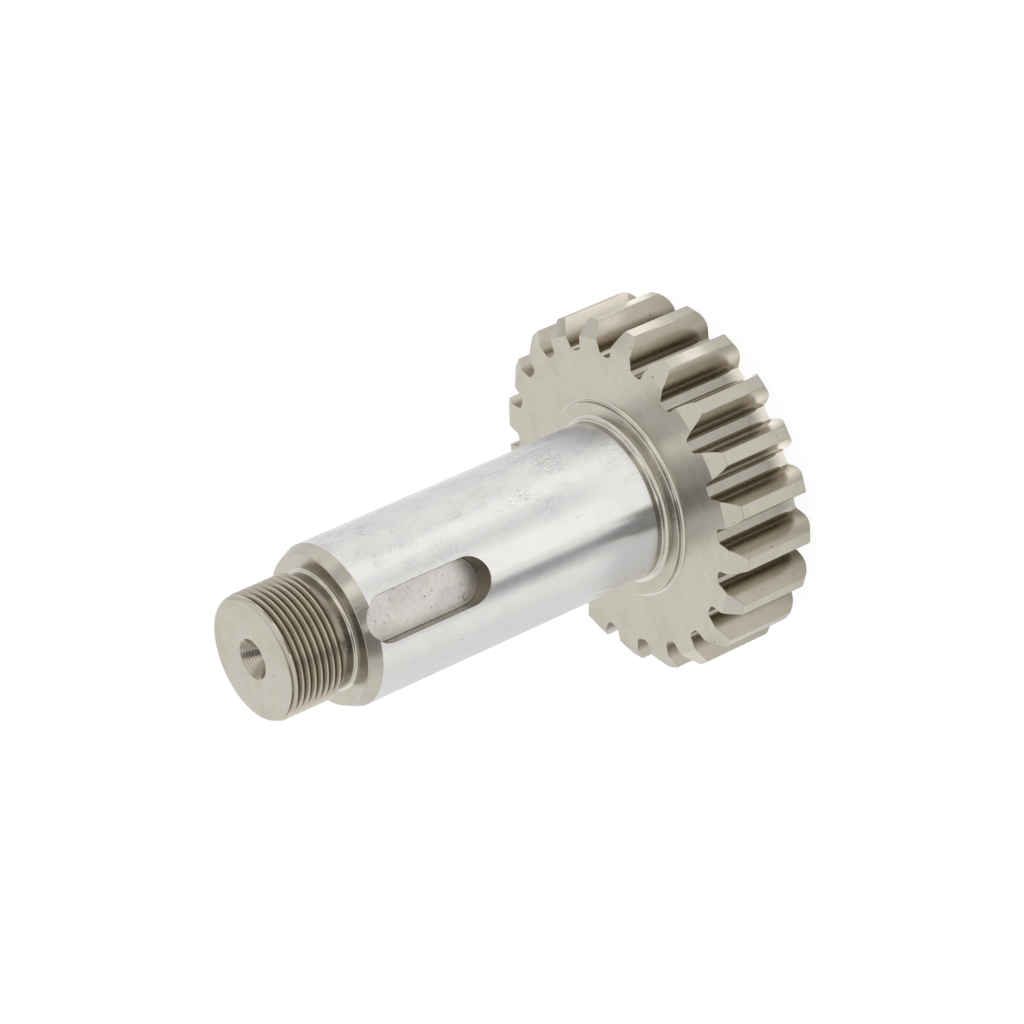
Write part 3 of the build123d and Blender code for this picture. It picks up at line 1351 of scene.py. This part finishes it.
FINISHES: dict[Finish, SteelFinish] = {
    Finish.GROUND: SteelFinish(
        "ground_journal", BRIGHT_STEEL, (0.78, 0.77, 0.75), roughness=0.21, grooved=0.85,
        mark_pitch=0.25, mark_depth=0.0003, stain_size=9.0, stain_strength=0.3, stain_blur=0.0,
        mottle=0.04, pit_size=0.24, scuff_size=0.6, scuff_width=0.035, scuff_cover=0.14,
        scuff_side=-24.0, scuff_gathering=0.3, scuff_strength=0.34,
    ),
    Finish.TURNED: SteelFinish(
        "turned_steel", WARM_STEEL, STAINED_STEEL, roughness=0.23, stain_size=9.0, stain_strength=0.3,
        stain_blur=0.03, mottle=0.07, pit_spacing=0.9, pit_size=0.2, pit_gathering=0.25,
    ),
    # Fillets, edges and thread crests: lighter than the turned steel as painted highlight; the lower
    # roughness is a smoother surface
    Finish.RING: SteelFinish(
        "turned_painted_highlight", (0.62, 0.59, 0.525), STAINED_STEEL, roughness=0.15, mark_depth=0.0004,
        mark_contrast=0.03, stain_strength=0.2, stain_blur=0.02, mottle=0.025,
    ),
    Finish.TOOTH_END: SteelFinish(
        "tooth_bevels", WARM_STEEL, STAINED_STEEL, roughness=0.22, stain_strength=0.15,
        stain_blur=0.03, mottle=0.05, pit_spacing=0.8, pit_size=0.28, pit_gathering=0.15,
    ),
    # Flanks: painted shade turns the lower flanks dark brown towards the roots, standing in for the shade
    # in the tooth gaps; the faint clouds are real stains
    Finish.FLANK: SteelFinish(
        "tooth_flanks", (0.60, 0.555, 0.47), (0.22, 0.18, 0.125), roughness=0.21, grooved=0.0,
        mark_depth=0.0, mark_contrast=0.01, stain_strength=0.1, stain_blur=0.03, recess_shade_deep=34.0,
        recess_shade_shallow=36.7, recess_shade_strength=0.85, pit_spacing=0.8, pit_size=0.28, pit_gathering=0.2,
    ),
    Finish.ROOT: SteelFinish(
        "tooth_roots", (0.53, 0.50, 0.435), (0.40, 0.35, 0.27), roughness=0.13, grooved=0.0,
        mark_depth=0.0, mark_contrast=0.01, stain_strength=0.2, stain_blur=0.03,
    ),
    Finish.TIP: SteelFinish(
        "tooth_tips", (0.68, 0.645, 0.555), STAINED_STEEL, roughness=0.2, stain_strength=0.15,
        mottle=0.05, pit_spacing=1.0, pit_size=0.26, pit_gathering=0.3,
    ),
    # Thread: painted shade turns the troughs dark brown below radius 13.15, standing in for the shade
    # between the crests; the faint clouds are real stains
    Finish.THREAD: SteelFinish(
        "cut_thread", (0.51, 0.465, 0.385), (0.22, 0.18, 0.12), roughness=0.18, grooved=0.4,
        mark_pitch=0.12, mark_depth=0.0002, mark_contrast=0.03, stain_strength=0.1,
        recess_shade_deep=12.7, recess_shade_shallow=13.15, recess_shade_strength=0.9,
    ),
    # Neck: the whole neck lies below radius 12.55, so painted shade turns it dark brown throughout; the
    # faint clouds are real stains
    Finish.NECK: SteelFinish(
        "neck", (0.70, 0.655, 0.58), (0.17, 0.135, 0.09), roughness=0.11, mark_depth=0.0005,
        mark_contrast=0.05, stain_strength=0.1, stain_blur=0.02,
        recess_shade_deep=12.55, recess_shade_shallow=12.85, recess_shade_strength=0.7,
    ),
    Finish.KEYWAY: SteelFinish(
        "keyway_floor", (0.84, 0.81, 0.765), STAINED_STEEL, roughness=0.4, grooved=0.0,
        mark_depth=0.0, mark_contrast=0.1, stain_strength=0.2, mottle=0.04, pit_spacing=0.5,
        pit_gathering=0.15, scuff_size=0.4, scuff_width=0.05, scuff_cover=0.6, scuff_strength=0.2,
    ),
    # Keyway walls: the milled steel painted dark brown as painted shade, against the light floor
    Finish.KEYWAY_WALL: SteelFinish(
        "keyway_walls_painted_shade", (0.23, 0.20, 0.155), (0.14, 0.115, 0.08), roughness=0.24, grooved=0.0,
        mark_depth=0.0, mark_contrast=0.1, stain_strength=0.3,
    ),
    # Centre hole: turned steel painted somewhat darker as painted shade inside the hole; its rings are
    # tool marks
    Finish.CENTRE_HOLE: SteelFinish(
        "centre_hole", (0.48, 0.435, 0.37), STAINED_STEEL, roughness=0.15, mark_pitch=0.38,
        mark_regular=0.45, mark_depth=0.009, mark_contrast=0.3, mark_waver=0.2,
    ),
}


@dataclass(frozen=True)
class PhotoCamera:
    """Camera at the photograph's viewpoint. Angles are degrees."""

    position: Place = (0.153807, -0.766328, 0.524950)
    azimuth: float = 100.910047
    elevation: float = -31.510116
    roll: float = -113.780179
    lens: float = 157.03
    sensor: float = 36.0

    def build(self) -> bpy.types.Object:
        """Makes the camera and gives it to the scene.

        Returns:
            The camera.
        """
        data = bpy.data.cameras.new("photograph")
        data.lens = self.lens
        data.sensor_width = self.sensor
        data.sensor_fit = "HORIZONTAL"
        camera = place_in_scene("photograph", data)
        turn, rise, roll = radians(self.azimuth), radians(self.elevation), radians(self.roll)
        forward = Vector((cos(turn) * cos(rise), sin(turn) * cos(rise), sin(rise)))
        level = Vector((sin(turn), -cos(turn), 0.0))
        right = level * cos(roll) + level.cross(forward) * sin(roll)
        axes = Matrix((right, right.cross(forward), -forward)).transposed()
        camera.matrix_world = Matrix.Translation(self.position) @ axes.to_4x4()
        bpy.context.scene.camera = camera
        return camera


@dataclass(frozen=True)
class Card:
    """A flat studio card round the part, which only reflections show, from above.

    Azimuth and spread are degrees. The fades are the shares of its width over which its two sides
    go soft, and the gain is what it brightens by from its near edge to its far one.
    """

    name: str
    azimuth: float
    spread: float
    brightness: float
    near: float = 0.070
    far: float = 0.210
    height: float = 0.0005
    fade_before: float = 0.3
    fade_after: float = 0.3
    gain: float = 0.0
    steps: int = 24

    def build(self) -> bpy.types.Object:
        """Makes the card as an arc with soft sides.

        Returns:
            The card.
        """
        mesh = bpy.data.meshes.new(self.name)
        points = []
        for i in range(self.steps + 1):
            azimuth = radians(self.azimuth + self.spread * (2 * i / self.steps - 1))
            for radius in (self.near, self.far):
                turn = self.turn_at(azimuth, radius)
                points.append((radius * cos(turn), radius * sin(turn), self.height))
        faces = [(2 * i + 1, 2 * i + 3, 2 * i + 2, 2 * i) for i in range(self.steps)]
        mesh.from_pydata(points, [], faces)
        across = mesh.uv_layers.new(name="across")
        for loop in mesh.loops:
            across.uv[loop.index].vector = (loop.vertex_index // 2 / self.steps, loop.vertex_index % 2)
        mesh.materials.append(self._material())
        card = place_in_scene(self.name, mesh)
        for rays in ("camera", "diffuse", "transmission", "volume_scatter", "shadow"):
            setattr(card, f"visible_{rays}", False)
        return card

    def turn_at(self, azimuth: float, radius: float) -> float:
        """Angle of one line across the card at a radius; here it is straight out from the axis."""
        return azimuth

    def _material(self) -> bpy.types.Material:
        """Plain grey that fades out towards the card's sides, and nothing from behind.

        Returns:
            The card's material.
        """
        material, tree, mixed = new_material(self.name, "ShaderNodeMixShader")
        across, outwards, _ = tree.split(tree.add("ShaderNodeUVMap", uv_map="across").outputs[0])
        before = tree.ramp(across, 0.0, self.fade_before)
        after = tree.ramp(across, 1.0, 1.0 - self.fade_after)
        back = tree.add("ShaderNodeNewGeometry").outputs["Backfacing"]
        level = tree.ramp(outwards, 0.0, 1.0, self.brightness, self.brightness + self.gain)
        tree.feed(mixed.inputs[0], tree.times(tree.times(before, after), tree.minus(1.0, back)))
        tree.feed(mixed.inputs[1], tree.add("ShaderNodeBsdfTransparent").outputs[0])
        tree.feed(mixed.inputs[2], tree.add("ShaderNodeEmission", {"Strength": level}).outputs[0])
        return material


@dataclass(frozen=True)
class MirroredCard(Card):
    """A card whose sides follow the camera's view as an upright side of the part reflects it.

    Its azimuth and spread are those of the side's points, the mirror is their distance from the
    axis, and the lean is the angle from a point's azimuth to the way that the side faces there. As
    it is given, the side is the journal's and the card lies just above the gear's face, so that a
    streak of the journal goes on straight to its foot.
    """

    near: float = 0.0205
    far: float = 0.0395
    height: float = 0.0225
    mirror: float = 0.0175
    lean: float = 0.0

    def turn_at(self, azimuth: float, radius: float) -> float:
        """Angle at which the camera's view, reflected by the side, meets a radius.

        Args:
            azimuth: The side's point, in radians about the axis.
            radius: The distance from the axis.

        Returns:
            The angle about the axis, in radians.
        """
        way = 2 * (azimuth + radians(self.lean)) - radians(CAMERA_AZIMUTH)
        out = self.mirror * cos(way - azimuth)
        path = sqrt(out**2 + radius**2 - self.mirror**2) - out
        x = self.mirror * cos(azimuth) + path * cos(way)
        y = self.mirror * sin(azimuth) + path * sin(way)
        return atan2(y, x)


@dataclass(frozen=True)
class SoftPatch:
    """A soft round patch of the tent, lighter or darker than the rest. Angles are degrees."""

    azimuth: float
    elevation: float
    inner: float
    outer: float
    level: float

    def paint(self, tree: Tree, way: Socket, under: Socket) -> Socket:
        """Lays the patch over a level.

        Args:
            tree: The world's tree.
            way: The direction that is looked in.
            under: The level below the patch.

        Returns:
            The level with the patch on it.
        """
        turn, rise = radians(self.azimuth), radians(self.elevation)
        centre = (cos(turn) * cos(rise), sin(turn) * cos(rise), sin(rise))
        nearness = tree.vector("DOT_PRODUCT", way, centre)
        share = tree.ramp(nearness, cos(radians(self.outer)), cos(radians(self.inner)))
        return tree.plus(under, tree.times(share, tree.minus(self.level, under)))


@dataclass
class Studio:
    """White table, pale tent with soft lights and a dim side, and cards.

    Angles are degrees. The fades are the elevations between which one level turns into the next.
    """

    table_size: float = 12.0
    table_gap: float = 0.0001
    table_glow: float = 0.93
    table_tint: float = 0.12
    table_paint: float = 0.88
    reflected_glow: float = 0.3
    horizon: float = 1.1
    walls: float = 0.58
    ceiling: float = 0.98
    horizon_fade: tuple[float, float] = (4.0, 18.0)
    ceiling_fade: tuple[float, float] = (33.0, 45.0)
    patches: tuple[SoftPatch, ...] = (
        SoftPatch(azimuth=100.0, elevation=27.0, inner=20.0, outer=38.0, level=1.0),
        SoftPatch(azimuth=128.0, elevation=19.0, inner=7.0, outer=18.0, level=1.2),
        SoftPatch(azimuth=-120.0, elevation=29.0, inner=18.0, outer=31.0, level=0.22),
        SoftPatch(azimuth=-84.0, elevation=25.0, inner=7.0, outer=15.0, level=0.24),
        SoftPatch(azimuth=-101.0, elevation=16.0, inner=3.0, outer=8.0, level=1.4),
        SoftPatch(azimuth=-47.0, elevation=23.0, inner=6.0, outer=14.0, level=1.35),
        SoftPatch(azimuth=0.0, elevation=17.0, inner=5.0, outer=12.0, level=1.05),
        SoftPatch(azimuth=-55.0, elevation=38.0, inner=7.0, outer=15.0, level=1.0),
        SoftPatch(azimuth=152.0, elevation=32.0, inner=9.0, outer=18.0, level=1.0),
        SoftPatch(azimuth=50.0, elevation=32.0, inner=5.0, outer=14.0, level=0.88),
    )
    cards: tuple[Card, ...] = (
        Card("flag_beside_camera", -127.0, 17.0, 0.28, fade_before=0.7, fade_after=0.25),
        Card("light_by_camera", -87.0, 21.0, 1.0, fade_before=0.15),
        Card("shade_front", -57.0, 8.0, 0.74),
        Card("light_front", -31.0, 15.0, 0.98),
        Card("shade_right", 38.0, 30.0, 0.76),
        Card("light_back", 92.0, 12.0, 1.02),
        Card("shade_left", 160.0, 56.0, 0.73, fade_before=0.15),
        Card("low_light_front", -38.0, 6.0, 1.3, near=0.050, far=0.058),
        Card("light_under_teeth", -75.0, 45.0, 1.5, near=0.0325, far=0.0395, height=-0.00005, gain=-0.95),
        MirroredCard(
            "flank_light", 2.5, 10.0, 1.35, near=0.040, far=0.074, height=0.0005,
            fade_before=0.8, fade_after=0.15, mirror=0.0365, lean=-62.0,
        ),
        MirroredCard("gear_light_front", -60.5, 35.0, 0.9, fade_before=0.08, fade_after=0.4),
        MirroredCard("gear_flag", -101.5, 5.8, 0.2),
        MirroredCard("gear_light_left", -132.5, 25.5, 0.55, fade_before=0.5, fade_after=0.1),
        MirroredCard(
            "gear_shade", -19.0, 35.0, 0.33, height=0.0223, fade_before=0.2, fade_after=0.05, gain=0.35
        ),
    )

    def build(self) -> None:
        """Makes the table, the cards and the world, and reports each of them."""
        log.info("stage: %s", self._table().name)
        for card in self.cards:
            log.info("stage: %s", card.build().name)
        log.info("world: %s", self._world().name)

    def _table(self) -> bpy.types.Object:
        """Makes the white table, which keeps the part's shadow.

        Returns:
            The table.
        """
        half = self.table_size / 2
        mesh = bpy.data.meshes.new("table")
        corners = [(-half, -half, 0), (half, -half, 0), (half, half, 0), (-half, half, 0)]
        mesh.from_pydata(corners, [], [(0, 1, 2, 3)])
        mesh.materials.append(self._table_paint())
        table = place_in_scene("table", mesh)
        table.location.z = -self.table_gap
        return table

    def _table_paint(self) -> bpy.types.Material:
        """White that the camera sees as a clean background, and reflections with its own shade.

        Returns:
            The table's material.
        """
        material, tree, mixed = new_material("white_table", "ShaderNodeMixShader")
        path = tree.add("ShaderNodeLightPath").outputs
        reflected = tree.times(path["Is Glossy Ray"], self.reflected_glow)
        seen = tree.math("MAXIMUM", path["Is Camera Ray"], path["Is Transmission Ray"])
        faint, paint = (
            tree.add("ShaderNodeBsdfDiffuse", {"Color": (grey, grey, grey, 1.0)}).outputs[0]
            for grey in (self.table_tint, self.table_paint)
        )
        glow = tree.add("ShaderNodeEmission", {"Strength": self.table_glow}).outputs[0]
        tree.feed(mixed.inputs[0], tree.math("MAXIMUM", seen, reflected))
        tree.feed(mixed.inputs[1], paint)
        tree.feed(mixed.inputs[2], tree.add("ShaderNodeAddShader", {0: glow, 1: faint}).outputs[0])
        return material

    def _world(self) -> bpy.types.World:
        """Makes the tent: pale at the table, greyer walls, a light ceiling, and the soft patches.

        Returns:
            The world.
        """
        world = bpy.data.worlds.new("tent")
        bpy.context.scene.world = world
        world.use_nodes = True
        tree = Tree(world.node_tree)
        way = tree.add("ShaderNodeTexCoord").outputs["Generated"]
        height = tree.split(way)[2]
        foot, clear = (sin(radians(angle)) for angle in self.horizon_fade)
        lower = tree.ramp(height, foot, clear, self.horizon, self.walls)
        foot, clear = (sin(radians(angle)) for angle in self.ceiling_fade)
        level = tree.plus(lower, tree.ramp(height, foot, clear, 0.0, self.ceiling - self.walls))
        for patch in self.patches:
            level = patch.paint(tree, way, level)
        background = world.node_tree.nodes["Background"]
        tree.feed(background.inputs["Strength"], level)
        tree.feed(background.inputs["Color"], (1.0, 1.0, 1.0, 1.0))
        return world


def main() -> None:
    """Builds the camera, the studio and the part, and reports each piece."""
    logging.basicConfig(level=logging.INFO)
    log.info("camera: %s", PhotoCamera().build().name)
    Studio().build()
    effects = Effects()
    materials = [FINISHES[finish].build(effects) for finish in Finish]
    shaft = PinionShaft().build(materials)
    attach(shaft, BODY)
    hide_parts(NODE)
    log.info("%s: %d faces", shaft.name, len(shaft.data.polygons))
    bpy.context.scene.view_settings.view_transform = "Standard"


if __name__ == "__main__":
    main()
